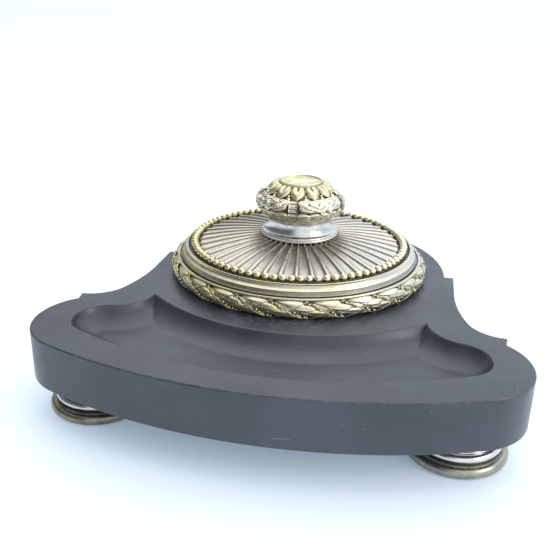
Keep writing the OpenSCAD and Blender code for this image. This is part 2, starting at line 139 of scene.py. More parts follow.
def turned(profile, count=192, centre=None):
    """Vertices and faces of a closed (r, z) profile turned about a vertical axis."""
    centre = WELL if centre is None else centre
    profile = np.asarray(profile, float)
    size = len(profile)
    angles = np.arange(count) * 2 * math.pi / count
    ring = np.stack([np.cos(angles), np.sin(angles)], 1)
    verts = np.empty((count, size, 3))
    verts[:, :, 0] = centre[0] + ring[:, :1] * profile[:, 0]
    verts[:, :, 1] = centre[1] + ring[:, 1:] * profile[:, 0]
    verts[:, :, 2] = profile[:, 1]
    faces = []
    for i in range(count):
        a, b = i * size, (i + 1) % count * size
        for j in range(size):
            k = (j + 1) % size
            faces.append((a + j, b + j, b + k, a + k))
    return verts.reshape(-1, 3), faces


def round_well(r, degrees, z):
    """Points at the given radii, angles and heights about the well's axis."""
    angle = np.radians(degrees)
    return np.stack(np.broadcast_arrays(WELL[0] + r * np.cos(angle), WELL[1] + r * np.sin(angle), z), -1)


def joined(parts):
    """One shape from several: vertices, faces, and how much patina and painted shade each vertex carries.
    """
    verts, faces, depth, start = [], [], [], 0
    for part_verts, part_faces, *part_depth in parts:
        verts.append(np.asarray(part_verts, float))
        faces.extend(tuple(start + i for i in face) for face in part_faces)
        depth.append(np.broadcast_to(part_depth[0] if part_depth else 0.0, (len(part_verts),)))
        start += len(part_verts)
    return np.concatenate(verts), faces, np.concatenate(depth)


def grid_solid(top, bottom, depth=0.0):
    """A closed shell from two grids of points that share their border."""
    rows, cols = top.shape[:2]
    verts = np.concatenate([top.reshape(-1, 3), bottom.reshape(-1, 3)])
    faces = []
    under = rows * cols
    for i in range(rows - 1):
        for j in range(cols - 1):
            a, b, c, d = i * cols + j, i * cols + j + 1, (i + 1) * cols + j + 1, (i + 1) * cols + j
            faces.append((a, b, c, d))
            faces.append((under + d, under + c, under + b, under + a))
    depth = np.broadcast_to(depth, (rows, cols)).reshape(-1)
    return verts, faces, np.concatenate([depth, np.ones(under)])


def ball(centre, radius, around, down):
    """A small sphere."""
    verts = [(0, 0, 1)]
    for i in range(1, down):
        tilt = math.pi * i / down
        for j in range(around):
            turn = 2 * math.pi * j / around
            verts.append((math.sin(tilt) * math.cos(turn), math.sin(tilt) * math.sin(turn), math.cos(tilt)))
    verts.append((0, 0, -1))
    faces = []
    for j in range(around):
        k = (j + 1) % around
        faces.append((0, 1 + j, 1 + k))
        for i in range(down - 2):
            a = 1 + i * around
            faces.append((a + j, a + around + j, a + around + k, a + k))
        last = 1 + (down - 2) * around
        faces.append((last + j, len(verts) - 1, last + k))
    return np.array(verts) * radius + centre, faces


def tube(path, radius, around):
    """A round wire along a list of points."""
    path = np.asarray(path, float)
    count = len(path)
    along = np.gradient(path, axis=0)
    along /= np.linalg.norm(along, axis=1)[:, None]
    side = np.cross(along, [0.0, 0.0, 1.0])
    side /= np.linalg.norm(side, axis=1)[:, None]
    up = np.cross(side, along)
    verts = []
    for k in range(around):
        angle = 2 * math.pi * k / around
        verts.append(path + (side * math.cos(angle) + up * math.sin(angle)) * radius)
    verts = np.stack(verts, 1).reshape(-1, 3)
    faces = []
    for i in range(count - 1):
        a, b = i * around, (i + 1) * around
        for k in range(around):
            m = (k + 1) % around
            faces.append((a + k, a + m, b + m, b + k))
    faces.append(tuple(range(around - 1, -1, -1)))
    faces.append(tuple(range((count - 1) * around, count * around)))
    return verts, faces


def mark_turn(mesh):
    """Keeps how the surface turns at each vertex: above 0 on arrises, below 0 in hollows."""
    count = len(mesh.vertices)
    points = np.empty(count * 3)
    mesh.vertices.foreach_get("co", points)
    normals = np.empty(count * 3, np.float32)
    mesh.vertex_normals.foreach_get("vector", normals)
    points, normals = points.reshape(-1, 3), normals.reshape(-1, 3)
    ends = np.empty(len(mesh.edges) * 2, np.int32)
    mesh.edges.foreach_get("vertices", ends)
    first, last = ends.reshape(-1, 2).T
    step = points[last] - points[first]
    step /= np.maximum(np.linalg.norm(step, axis=1), 1e-12)[:, None]
    at_first = -(normals[first] * step).sum(1)
    at_last = (normals[last] * step).sum(1)
    total = np.bincount(first, at_first, count) + np.bincount(last, at_last, count)
    shared = np.bincount(first, minlength=count) + np.bincount(last, minlength=count)
    layer = mesh.attributes.new("turn", "FLOAT", "POINT")
    layer.data.foreach_set("value", (total / np.maximum(shared, 1)).astype(np.float32))


def make(name, shape, material, body, replaces=(), sharp=32.0, second=None):
    """A finished piece in the row frame, from vertices in millimetres."""
    verts, faces, *depth = shape
    mesh = bpy.data.meshes.new(name)
    mesh.from_pydata((np.asarray(verts) * MM).tolist(), [], faces)
    layer = mesh.attributes.new("deep", "FLOAT", "POINT")
    layer.data.foreach_set("value", np.broadcast_to(depth[0] if depth else 0.0, (len(verts),))
                           .astype(np.float32))
    work = bmesh.new()
    work.from_mesh(mesh)
    bmesh.ops.remove_doubles(work, verts=work.verts, dist=2e-4 * MM)
    bmesh.ops.dissolve_degenerate(work, dist=1e-5 * MM, edges=work.edges)
    bmesh.ops.recalc_face_normals(work, faces=work.faces)
    limit = math.radians(sharp)
    for face in work.faces:
        face.smooth = True
    for edge in work.edges:
        edge.smooth = len(edge.link_faces) == 2 and edge.calc_face_angle(0.0) < limit
    work.to_mesh(mesh)
    work.free()
    mark_turn(mesh)
    mesh.materials.append(material)
    if second:
        other, chooses = second
        mesh.materials.append(other)
        for polygon in mesh.polygons:
            polygon.material_index = int(chooses(polygon.center / MM))
    piece = bpy.data.objects.new(name, mesh)
    bpy.context.scene.collection.objects.link(piece)
    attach(piece, body)
    if replaces:
        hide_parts(*replaces)
    return piece


# ------------------------------------------------------------------- materials
class Steps:
    """The node steps that materials and the sky are built from."""

    def __init__(self, tree):
        self.tree = tree

    def add(self, kind, **settings):
        node = self.tree.nodes.new(kind)
        for key, value in settings.items():
            setattr(node, key, value)
        return node

    def feed(self, socket, value):
        if isinstance(value, bpy.types.NodeSocket):
            self.tree.links.new(value, socket)
        else:
            socket.default_value = value

    def sum(self, operation, *values, clamp=False):
        node = self.add("ShaderNodeMath", operation=operation, use_clamp=clamp)
        for socket, value in zip(node.inputs, values):
            self.feed(socket, value)
        return node.outputs[0]

    def spread(self, value, low, high, out_low=0.0, out_high=1.0):
        """Maps low..high to out_low..out_high, smoothly and no further."""
        node = self.add("ShaderNodeMapRange", interpolation_type="SMOOTHSTEP")
        for socket, given in zip(node.inputs, (value, low, high, out_low, out_high)):
            self.feed(socket, given)
        return node.outputs[0]

    def mix(self, share, first, second):
        node = self.add("ShaderNodeMix", data_type="RGBA")
        self.feed(node.inputs["Factor"], share)
        for socket, value in zip((node.inputs[6], node.inputs[7]), (first, second)):
            self.feed(socket, value if isinstance(value, bpy.types.NodeSocket) else (*value, 1.0))
        return node.outputs[2]


class Surface(Steps):
    """A node material that is built up step by step."""

    def __init__(self, name, **fixed):
        self.material = bpy.data.materials.new(name)
        self.material.use_nodes = True
        super().__init__(self.material.node_tree)
        self.shader = self.tree.nodes["Principled BSDF"]
        for socket, value in fixed.items():
            self.shader.inputs[socket.replace("_", " ")].default_value = value
        self.where = self.add("ShaderNodeTexCoord").outputs["Object"]

    def noise(self, grain, detail=3.0, rough=0.55, stretch=(1, 1, 1), turn=(0, 0, 0)):
        """Noise from 0 to 1 with a grain in millimetres."""
        place = self.add("ShaderNodeMapping")
        place.inputs["Scale"].default_value = stretch
        place.inputs["Rotation"].default_value = turn
        self.feed(place.inputs["Vector"], self.where)
        node = self.add("ShaderNodeTexNoise")
        node.inputs["Scale"].default_value = 1 / (grain * MM)
        node.inputs["Detail"].default_value = detail
        node.inputs["Roughness"].default_value = rough
        self.feed(node.inputs["Vector"], place.outputs[0])
        return node.outputs["Fac"]

    def bump(self, height, depth, strength=1.0):
        """Bump with a real depth in millimetres."""
        node = self.add("ShaderNodeBump")
        node.inputs["Strength"].default_value = strength
        node.inputs["Distance"].default_value = depth * MM
        self.feed(node.inputs["Height"], height)
        self.feed(self.shader.inputs["Normal"], node.outputs[0])

    def kept(self, name):
        """A number that the mesh keeps at each vertex."""
        return self.add("ShaderNodeAttribute", attribute_name=name).outputs["Fac"]

    def hollow(self, reach):
        """1 where other surfaces close in within reach, 0 in the open."""
        node = self.add("ShaderNodeAmbientOcclusion", samples=8)
        node.inputs["Distance"].default_value = reach * MM
        return self.sum("SUBTRACT", 1.0, node.outputs["AO"])


SILVER_WEAR_AND_RIGHT_LIGHT = (0.76, 0.77, 0.76)


def metal(name, bright, dull, patina_and_shade, rough=0.24, reach=1.6, grime_and_shade=1.0, rub=0.5, silvering_and_right_light=0.5, **fixed):
    """Old cast metal: gilding worn to silver towards +X, the silver also painting the bluish-white light
    from the right; dark patina in hollows, with painted shade where the kept depth carries it; rubbed
    arrises.
    """
    s = Surface(name, Metallic=1.0, **fixed)
    cloud = s.noise(9, detail=4)
    fine = s.noise(0.9, detail=4, rough=0.65)
    turn = s.kept("turn")
    deep = s.kept("deep")
    place = s.add("ShaderNodeSeparateXYZ")
    s.feed(place.inputs[0], s.where)
    gilt_x, silver_x, wander = -45 * MM, 60 * MM, 160 * MM        # where the gilding thins out to silver, which also paints the bluish-white light from the right
    side = s.sum("ADD", place.outputs[0], s.sum("MULTIPLY", s.sum("SUBTRACT", cloud, 0.5), wander))
    tone = s.mix(s.sum("ADD", s.spread(cloud, 0.36, 0.66), s.spread(deep, 0.05, 0.3), clamp=True),
                 bright, dull)
    # painted light: the shift to silver towards +X is worn gilding and also the bluish-white light falling
    # from the right
    tone = s.mix(s.spread(side, gilt_x, silver_x, 0.0, silvering_and_right_light), tone, SILVER_WEAR_AND_RIGHT_LIGHT)
    # painted shade: besides patina in hollows, this mask darkens what the kept depth marks, and that
    # carries painted shade on the lid's fascia and the fluted plate
    tarnish_and_shade_mask = s.spread(s.hollow(reach), 0.18, 0.85)
    tarnish_and_shade_mask = s.sum("ADD", tarnish_and_shade_mask, s.sum("MULTIPLY", s.sum("SUBTRACT", fine, 0.5), 0.55))
    tarnish_and_shade_mask = s.sum("ADD", tarnish_and_shade_mask, s.spread(turn, 0.0, -0.22, 0.0, 0.45))
    tarnish_and_shade_mask = s.sum("ADD", tarnish_and_shade_mask, s.spread(deep, 0.25, 1.0, 0.0, 0.9))
    tarnish_and_shade_mask = s.sum("MULTIPLY", tarnish_and_shade_mask, grime_and_shade, clamp=True)
    tone = s.mix(tarnish_and_shade_mask, tone, patina_and_shade)
    edge = s.sum("MULTIPLY", s.spread(turn, 0.04, 0.2), s.spread(fine, 0.3, 0.6))
    tone = s.mix(s.sum("MULTIPLY", edge, rub), tone, tuple(min(1.0, c * 1.25) for c in bright))
    s.feed(s.shader.inputs["Base Color"], tone)
    gloss = s.sum("ADD", s.spread(s.noise(3.5, detail=5), 0.3, 0.7, rough - 0.07, rough + 0.1),
                  s.sum("MULTIPLY", tarnish_and_shade_mask, 0.3))
    s.feed(s.shader.inputs["Roughness"], gloss)
    s.bump(s.sum("ADD", fine, s.noise(0.3, detail=2)), 0.02, 0.6)
    return s.material


def stone(name):
    """Honed blue-black stone, greyer and rubbed along its arrises, with fine scratches."""
    s = Surface(name, Specular_IOR_Level=0.62, IOR=1.52)
    cloud = s.noise(34, detail=5)
    grain = s.noise(1.1, detail=5, rough=0.7)
    turn = s.kept("turn")
    blue_black, blue_grey = (0.022, 0.026, 0.035), (0.040, 0.046, 0.060)
    fleck, worn, scratch = (0.13, 0.14, 0.16), (0.2, 0.21, 0.235), (0.25, 0.26, 0.28)
    tone = s.mix(s.spread(cloud, 0.3, 0.7), blue_black, blue_grey)
    tone = s.mix(s.spread(grain, 0.62, 0.8, 0.0, 0.18), tone, fleck)
    rubbed = s.sum("MULTIPLY", s.spread(turn, 0.03, 0.16), s.spread(s.noise(2.2, detail=5), 0.42, 0.62))
    tone = s.mix(s.sum("MULTIPLY", rubbed, 0.28), tone, worn)
    lines = s.sum("MAXIMUM",
                  s.spread(s.noise(26, 2, stretch=(1.0, 34, 34), turn=(0, 0, 0.5)), 0.70, 0.74),
                  s.spread(s.noise(30, 2, stretch=(40, 1.0, 40), turn=(0, 0, 0.35)), 0.71, 0.75))
    tone = s.mix(s.sum("MULTIPLY", lines, 0.3), tone, scratch)
    s.feed(s.shader.inputs["Base Color"], tone)
    gloss = s.spread(s.noise(16, detail=5, rough=0.6), 0.3, 0.7, 0.27, 0.42)
    s.feed(s.shader.inputs["Roughness"], s.sum("ADD", gloss, s.sum("MULTIPLY", lines, 0.1)))
    s.bump(s.sum("SUBTRACT", s.sum("MULTIPLY", grain, 0.5), s.sum("MULTIPLY", lines, 0.6)), 0.012, 0.7)
    return s.material


def clear_glass(name):
    """Old hand-finished glass, very slightly green."""
    s = Surface(name, Transmission_Weight=1.0, IOR=1.5)
    tint = s.spread(s.noise(20), 0.3, 0.7)
    s.feed(s.shader.inputs["Base Color"], s.mix(tint, (0.90, 0.96, 0.95), (0.95, 0.98, 0.97)))
    s.feed(s.shader.inputs["Roughness"], s.spread(s.noise(5, detail=5), 0.3, 0.7, 0.01, 0.06))
    s.bump(s.noise(6, detail=2), 0.05, 0.4)
    return s.material


def cork_sheet(name):
    """Pressed cork."""
    s = Surface(name)
    grain = s.noise(1.6, detail=5, rough=0.7)
    s.feed(s.shader.inputs["Base Color"],
           s.mix(s.spread(grain, 0.35, 0.65), (0.34, 0.19, 0.09), (0.55, 0.36, 0.19)))
    s.feed(s.shader.inputs["Roughness"], s.spread(grain, 0.2, 0.8, 0.75, 0.95))
    s.bump(grain, 0.25)
    return s.material


STONE = stone("slate")
GILT = metal("gilt_brass", (0.64, 0.57, 0.32), (0.47, 0.41, 0.25), (0.10, 0.074, 0.074))
GILT_LEAF = metal("gilt_leaf", (0.76, 0.70, 0.38), (0.55, 0.48, 0.31), (0.08, 0.06, 0.06),
                  rough=0.24, reach=1.3)
PLATED = metal("fluted_plate", (0.80, 0.73, 0.40), (0.50, 0.45, 0.37), (0.11, 0.09, 0.082),
               rough=0.27, reach=2.2, silvering_and_right_light=0.35)
SILVER = metal("knob_silver", (0.68, 0.665, 0.63), (0.54, 0.525, 0.49), (0.15, 0.14, 0.13),
               rough=0.2, reach=1.0, grime_and_shade=0.6, silvering_and_right_light=0.3)
WREATH = metal("knob_wreath", (0.78, 0.73, 0.50), (0.54, 0.48, 0.38), (0.07, 0.058, 0.058),
               rough=0.26, reach=1.7, grime_and_shade=1.25, silvering_and_right_light=0.45)
CAP_LEAF = metal("knob_leaves", (0.80, 0.74, 0.44), (0.56, 0.47, 0.28), (0.09, 0.07, 0.065),
                 rough=0.27, reach=1.2, silvering_and_right_light=0.25)
STAR = metal("star_gilt", (0.74, 0.70, 0.46), (0.70, 0.65, 0.42), (0.34, 0.30, 0.18),
             rough=0.34, reach=0.6, grime_and_shade=0.5, silvering_and_right_light=0.1)
FOOT = metal("foot_brass", (0.33, 0.31, 0.23), (0.21, 0.195, 0.155), (0.045, 0.038, 0.035),
             rough=0.26, reach=1.6, silvering_and_right_light=0.15)
FOOT_SILVER = metal("foot_silver", (0.70, 0.70, 0.68), (0.54, 0.53, 0.50), (0.10, 0.09, 0.085),
                    rough=0.14, reach=1.2, grime_and_shade=0.8)
STEEL = metal("fixing_steel", (0.50, 0.49, 0.46), (0.36, 0.34, 0.30), (0.09, 0.08, 0.07), rough=0.34)
INSERT = metal("insert_brass", (0.72, 0.58, 0.28), (0.55, 0.43, 0.20), (0.12, 0.09, 0.05), rough=0.32)
GLASS = clear_glass("pot_glass")
CORK = cork_sheet("cork")


# ------------------------------------------------------------------- the slab
FRONT_R, FRONT_REACH, BACK_REACH = 220.0, 120.0, 72.0
LOBE_C = np.array([74.0, -80.0])
BACK_R = 67.2
COVE_R = 16.0
WAIST = np.array([71.5, -16.0])
NOTCH_DEG = 49.3
NOTCH_STEP = np.array([0.9, 5.6])
TRAY_DEPTH, TRAY_COVE_R = 7.4, 12.0
TRAY_BACK_R, TRAY_BACK_Y = 85.7, 12.9
TRAY_REACH = 107.4
SHOULDER_C, SHOULDER_R = np.array([77.2, -47.0]), 17.6
TRAY_LOBE_C = np.array([71.4, -77.0])


def mirrored(half):
    """Closes a right-hand half outline with its mirror image."""
    left = [(-x, y) for x, y in reversed(half) if x > 0.01]
    return np.array([tuple(p) for p in half] + left) + MIDDLE


def slab_plan():
    """The slab's outline: a long front arc, front lobes, notched coves, a waist and a back lobe."""
    front_c = np.array([0.0, FRONT_R - FRONT_REACH])
    lobe_r = FRONT_R - np.linalg.norm(LOBE_C - front_c)
    notch = LOBE_C + polar(lobe_r, NOTCH_DEG) + NOTCH_STEP
    cove_c = notch + [0.0, COVE_R]
    across, along = notch[0] - WAIST[0], WAIST[1] - cove_c[1]
    wide_r = (across ** 2 + along ** 2 - COVE_R ** 2) / (2 * (across - COVE_R))
    wide_c = WAIST + [wide_r, 0.0]
    step_y = BACK_REACH - BACK_R
    touch, bend = heading(front_c, LOBE_C), heading(wide_c, cove_c)
    return mirrored(
        arc(front_c, FRONT_R, -90, touch, 40)
        + arc(LOBE_C, lobe_r, touch + 2, NOTCH_DEG, 60)
        + arc(cove_c, COVE_R, -90, bend, 24)
        + arc(wide_c, wide_r, bend - 1.5, -180, 20)
        + [np.array([WAIST[0], step_y])]
        + arc((0.0, step_y), BACK_R, 0, 90, 70))


def tray_plan(inset):
    """The tray's outline, moved in from its top edge by inset."""
    lobe_r = np.linalg.norm(SHOULDER_C - TRAY_LOBE_C) - SHOULDER_R
    reach = TRAY_REACH - lobe_r
    front_y = (TRAY_LOBE_C @ TRAY_LOBE_C - reach * reach) / (2 * (reach + TRAY_LOBE_C[1]))
    front_c, back_c = np.array([0.0, front_y]), np.array([0.0, TRAY_BACK_Y])
    touch, bend = heading(front_c, TRAY_LOBE_C), heading(SHOULDER_C, TRAY_LOBE_C)
    r1, r2 = TRAY_BACK_R + inset, SHOULDER_R + inset
    gap = SHOULDER_C - back_c
    far = np.linalg.norm(gap)
    gap /= far
    share = (r1 * r1 - r2 * r2 + far * far) / (2 * far)
    cusp = back_c + share * gap + math.sqrt(r1 * r1 - share * share) * np.array([gap[1], -gap[0]])
    return mirrored(
        arc(front_c, front_y + TRAY_REACH - inset, -90, touch, 40)
        + arc(TRAY_LOBE_C, lobe_r - inset, touch + 4, bend + 180, 36)
        + arc(SHOULDER_C, r2, bend - 5, heading(SHOULDER_C, cusp) % 360 - 360, 18)
        + arc(back_c, r1, heading(back_c, cusp) - 1, -90, 40))


def moved_out(plan, distance):
    """The outline moved outwards along its own normals."""
    along = plan - np.roll(plan, 1, axis=0)
    along /= np.linalg.norm(along, axis=1)[:, None]
    out = np.stack([along[:, 1], -along[:, 0]], 1)
    following = np.roll(out, -1, axis=0)
    mitre = out + following
    mitre /= np.maximum((mitre * out).sum(1), 0.4)[:, None]
    return plan + mitre * distance


def circle(centre, radius, count=48):
    """A closed round outline."""
    return np.array([centre + polar(radius, 360 * i / count) for i in range(count)])


def band(rings):
    """Faces between successive outlines, each given as plan points and a height."""
    size = len(rings[0][0])
    verts = np.concatenate([np.column_stack([plan, np.full(size, z)]) for plan, z in rings])
    faces = []
    for level in range(len(rings) - 1):
        a, b = level * size, (level + 1) * size
        faces.extend((a + i, a + (i + 1) % size, b + (i + 1) % size, b + i) for i in range(size))
    return verts, faces


def inside(points, plan):
    """Which of the points lie inside a closed outline."""
    x, y = points[:, 0][:, None], points[:, 1][:, None]
    x0, y0 = plan.T
    x1, y1 = np.roll(plan, -1, axis=0).T
    crosses = (y0 > y) != (y1 > y)
    with np.errstate(divide="ignore", invalid="ignore"):
        at = x0 + (y - y0) * (x1 - x0) / (y1 - y0)
    return (crosses & (x < at)).sum(1) % 2 == 1


def flat_face(outer, holes, z):
    """A level face with holes in it."""
    loops = [outer] + list(holes)
    points, edges = [], []
    for loop in loops:
        start = len(points)
        points.extend(Vector(p) for p in loop)
        edges.extend((start + i, start + (i + 1) % len(loop)) for i in range(len(loop)))
    plan, _, faces = delaunay_2d_cdt(points, edges, [], 0, 1e-6)[:3]
    plan = np.array([tuple(p) for p in plan])
    faces = [tuple(f) for f in faces]
    middles = np.array([plan[list(f)].mean(0) for f in faces])
    keep = inside(middles, outer)
    for hole in holes:
        keep &= ~inside(middles, hole)
    return np.column_stack([plan, np.full(len(plan), z)]), [f for f, k in zip(faces, keep) if k]


def build_slab():
    """The stone: rounded arrises, a hollowed tray, and the holes of the CAD slab."""
    arris, under_arris = 0.7, 0.5
    plan = subdivided(slab_plan(), 1.2)
    foot_points = [MIDDLE + LOBE_C * [-1, 1], MIDDLE + LOBE_C, MIDDLE + [0.0, 46.0]]
    stud_points = [WELL + polar(50.0, a) for a in (30, 150, 270)]
    hinge_points = [WELL + [x, 68.1] for x in (-8.8, 8.8)]
    bore_r, bore_z = 33.0, UNDER + 3.0
    well_r, well_h = 6.4, 5.0
    insert_r, insert_h, plug_r = 4.0, 9.0, 2.0
    keep_in, keep_down = 0.6, 0.7           # extra outlines this far off an arris keep the flats flat

    outer = [(moved_out(plan, -arris - keep_in), TOP)]
    for k in range(5):
        a = math.radians(90 - 22.5 * k)
        outer.append((moved_out(plan, arris * (math.cos(a) - 1)), TOP - arris * (1 - math.sin(a))))
    outer.append((plan, TOP - arris - keep_down))
    outer.append((plan, UNDER + under_arris + keep_down))
    for k in range(4):
        a = math.radians(-30 * k)
        outer.append((moved_out(plan, under_arris * (math.cos(a) - 1)),
                      UNDER + under_arris * (1 + math.sin(a))))
    outer.append((moved_out(plan, -under_arris - keep_in), UNDER))

    edge_w = math.sqrt(2 * TRAY_COVE_R * TRAY_DEPTH - TRAY_DEPTH ** 2)
    softened = ((-1.1, 0.0), (-0.5, 0.0), (-0.22, 0.06), (0.0, 0.24))     # (inset, depth) at the edge
    tray = [(tray_plan(inset), TOP - depth) for inset, depth in softened]
    steps = 22
    for k in range(1, steps + 1):
        depth = TRAY_DEPTH * math.sin(math.pi / 2 * k / steps)
        inset = edge_w - math.sqrt(TRAY_COVE_R ** 2 - (TRAY_COVE_R - TRAY_DEPTH + depth) ** 2)
        tray.append((tray_plan(inset), TOP - depth))

    bore = [(circle(WELL, bore_r + 0.4, 120), TOP), (circle(WELL, bore_r, 120), TOP - 0.4),
            (circle(WELL, bore_r, 120), bore_z)]
    parts = [band(outer), band(tray), band(bore)]
    top_holes = [tray[0][0], bore[0][0]]
    under_holes = []
    for point in stud_points:
        hole, nut_well = circle(point, BORE_R), circle(point, well_r)
        parts.append(band([(hole, TOP), (hole, UNDER + well_h)]))
        parts.append(band([(nut_well, UNDER), (nut_well, UNDER + well_h)]))
        parts.append(flat_face(nut_well, [hole], UNDER + well_h))
        top_holes.append(hole)
        under_holes.append(nut_well)
    for point in hinge_points:
        hole = circle(point, plug_r)
        parts.append(band([(hole, TOP), (hole, TOP - insert_h)]))
        parts.append(flat_face(hole, [], TOP - insert_h))
        top_holes.append(hole)
    for point in foot_points:
        hole = circle(point, insert_r)
        parts.append(band([(hole, UNDER), (hole, UNDER + insert_h)]))
        parts.append(flat_face(hole, [], UNDER + insert_h))
        under_holes.append(hole)
    parts.append(flat_face(bore[-1][0], [], bore_z))
    parts.append(flat_face(tray[-1][0], [], TOP - TRAY_DEPTH))
    parts.append(flat_face(outer[0][0], top_holes, TOP))
    parts.append(flat_face(outer[-1][0], under_holes, UNDER))
    piece = make("stone_slab", joined(parts), STONE, "base", ["base_slab"], sharp=26)
    for polygon in piece.data.polygons:
        if abs(polygon.normal.z) > 0.99999:             # a level face
            polygon.use_smooth = False


# ------------------------------------------------------------------- the feet
def build_feet():
    """Turned feet: a rolled base, a dark groove, a polished bead and a hollow neck."""
    roll_r, bead_r, fillet_r = 2.45, 1.8, 0.5
    recess_r, recess_z = 8.0, 7.0
    shoulder_r = 14.9
    silver_z = 5.2
    profile = [(recess_r, recess_z, 0.2), (recess_r, 0.25, 0.3), (9.0, 0.0, 0.2)]
    profile += arc((17.95, roll_r), roll_r, -88, 80, 16) + [(17.6, 4.9, 0.5), (16.9, 5.0, 0.7)]
    profile += arc((16.1, 6.95), bead_r, -50, 95, 12) + [(15.6, 8.95, 0.4)]
    profile += arc((15.25, 9.75), fillet_r, -40, 110, 6)
    profile += [(14.75, 10.3), (14.1, 11.6), (13.85, 13.0), (14.05, 14.6), (14.6, 16.0),
                (shoulder_r, 16.9, 0.1), (shoulder_r, UNDER), (BORE_R, UNDER), (BORE_R, recess_z)]
    shape = subdivided(rounded(profile), 0.7)
    for node in ("foot_left", "foot_right", "foot_back"):
        make("turned_" + node, turned(shape, 120, middle_of(node)), FOOT, "base", [node],
             second=(FOOT_SILVER, lambda at: at.z > silver_z))


# ------------------------------------------------------------- the well mount
GARLAND_C = (57.2, TOP + 3.72)
GARLAND_R = 3.35


def on_roll(centre, size, angle, section, height):
    """A point on a rounded band: degrees round the well, degrees round the section, height off it."""
    r = centre[0] + (size[0] + height) * np.cos(np.radians(section))
    z = centre[1] + (size[1] + height) * np.sin(np.radians(section))
    return round_well(r, angle, z)


def leaf(length, width, rise, place, sink=0.5, rows=15, cols=11, crease=0.3):
    """A closed leaf: a long tip at s = 0, a broad round base at s = 1, a groove down its middle."""
    s = np.linspace(0, 1, rows)[:, None]
    t = np.linspace(-1, 1, cols)[None, :]
    swell = np.interp(s, (0, 0.1, 0.3, 0.5, 0.7, 0.85, 0.95, 1), (0, 0.2, 0.64, 0.92, 1, 0.88, 0.55, 0))
    half = width / 2 * swell
    belly = np.clip(1 - np.abs(t) ** 2.6, 0, 1) ** 0.6 * swell ** 0.5
    groove = crease * np.exp(-(t / 0.16) ** 2) * np.clip(1.3 - s, 0, 1)
    top = rise * belly * (1 - groove)
    along, across = np.broadcast_arrays(s * length, t * half)
    bottom = -sink * np.clip(belly * 3, 0, 1) * (np.abs(t) < 1)
    depth = np.clip(1.25 - 1.8 * belly, 0, 1) + 0.45 * np.exp(-(t / 0.12) ** 2) * belly
    return grid_solid(place(along, across, np.broadcast_to(top, along.shape)),
                      place(along, across, np.broadcast_to(bottom, along.shape)), depth)


def build_mount():
    """Fixed ring: a low wall, a rounded lip and the ledge that the lid rests on."""
    seat = LIP_Z - 0.8
    profile = rounded([
        (45.0, TOP, 0), (45.0, seat, 0.3), (57.0, seat, 0.1), (57.25, seat + 0.15, 0.1),
        (57.3, LIP_Z - 0.1, 0.2), (57.9, LIP_Z + 0.02, 0.3), (58.5, LIP_Z - 0.1, 0.3),
        (58.6, LIP_Z - 0.9, 0.3), (58.4, LIP_Z - 1.4, 0.2), (57.4, LIP_Z - 1.6, 0.2),
        (56.2, LIP_Z - 1.8, 0.2), (56.2, TOP, 0)])
    make("mount_moulding", turned(subdivided(profile, 0.7), 240), GILT, "base",
         ["mount_ring"])


def build_garland():
    """Laurel band: a half-round core under four rows of leaves, crossed cords and berries."""
    rng = random.Random(7)
    pitch = 360 / GARLAND_N
    to_deg = math.degrees(1 / 60.4)          # lengths are measured along a circle of this radius
    size = (GARLAND_R, GARLAND_R)
    inner_r, berry_r = 56.3, 0.62
    core = arc(GARLAND_C, GARLAND_R, -88, 84, 20)
    core += [(inner_r, GARLAND_C[1] + GARLAND_R), (inner_r, GARLAND_C[1] - GARLAND_R)]
    parts = [(*turned(subdivided(np.array(core), 0.6), 240), 0.45)]

    def placing(start, section, lean, length):
        def place(along, across, height):
            tilt = section + lean * (0.5 - along / length) + np.degrees(across / (GARLAND_R + 0.6))
            return on_roll(GARLAND_C, size, start + along * to_deg, tilt, height)
        return place

    # degrees round the section, shift along the pitch, length, width, rise
    rows = ((62, 0.0, 13.6, 4.4, 1.0), (26, 0.33, 12.6, 4.0, 0.9), (-10, 0.66, 13.6, 4.4, 1.0),
            (-48, 0.0, 12.6, 4.2, 0.9))
    for k in range(GARLAND_N):
        for section, shift, length, width, rise in rows:
            start = (k + shift) * pitch + rng.uniform(-0.2, 0.2)
            place = placing(start, section, 20.0 + rng.uniform(-4, 4), length)
            parts.append(leaf(length, width, rise * rng.uniform(0.9, 1.0), place))
            for off, drop in ((0.6, 6.0), (1.7, -12.0)):        # two berries past the leaf's base
                at = on_roll(GARLAND_C, size, start + (length + off) * to_deg, section + drop, 0.4)
                parts.append((*ball(at, berry_r, 10, 7), 0.1))
        for way, thick in ((1, 0.3), (-1, 0.2)):                # two cords wound opposite ways
            steps = np.linspace(0, 1, 26)
            angle = k * pitch + way * (steps - 0.1) * pitch * 1.15 - 0.1 * pitch
            lift = 0.6 + 0.25 * np.abs(np.sin(steps * 2.2 * math.pi))
            cord = tube(on_roll(GARLAND_C, size, angle, 82 - steps * 150, lift), thick, 6)
            parts.append((*cord, 0.85))
    make("garland_laurel", joined(parts), GILT_LEAF, "base", ["garland_band"], sharp=50)


